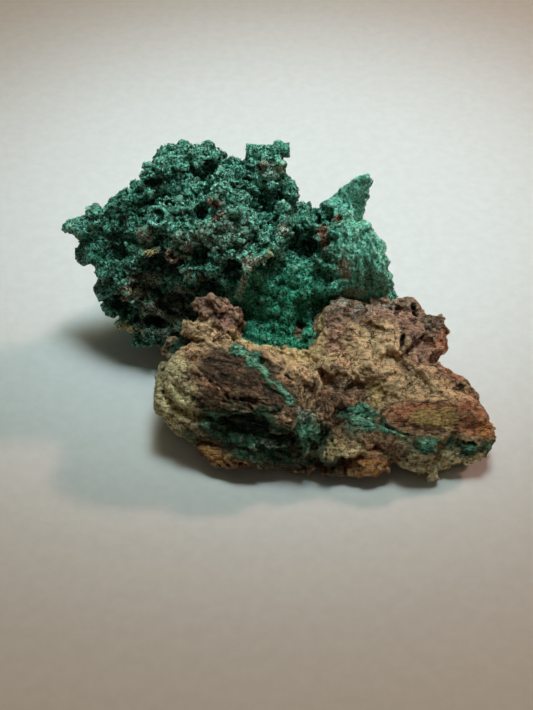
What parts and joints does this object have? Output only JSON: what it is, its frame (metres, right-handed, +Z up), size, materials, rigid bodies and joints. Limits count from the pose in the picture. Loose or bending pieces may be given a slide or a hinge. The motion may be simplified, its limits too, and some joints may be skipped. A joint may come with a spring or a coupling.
{
  "type": "malachite specimen",
  "caption": "Hand-sized mineral specimen: knobbly green malachite growth standing on a broken slab of brown iron-oxide rock, lying on its base.",
  "frame": {"origin": "centre of the footprint, on the surface the specimen lies on", "axes": "+X along the specimen's length towards the pointed end of the rock, -Y towards the side where the broken rock shows, +Z up"},
  "size_m": [0.0722, 0.0554, 0.0355],
  "materials": {
    "iron_oxide_rock": "rough, earthy, cracked, brown to ochre",
    "malachite": "knobbly, dull to silky, dark green with paler bluish-green crusts"
  },
  "bodies": {
    "root": {"matrix_rock": "iron_oxide_rock", "malachite_growth": "malachite"}
  },
  "joints": []
}
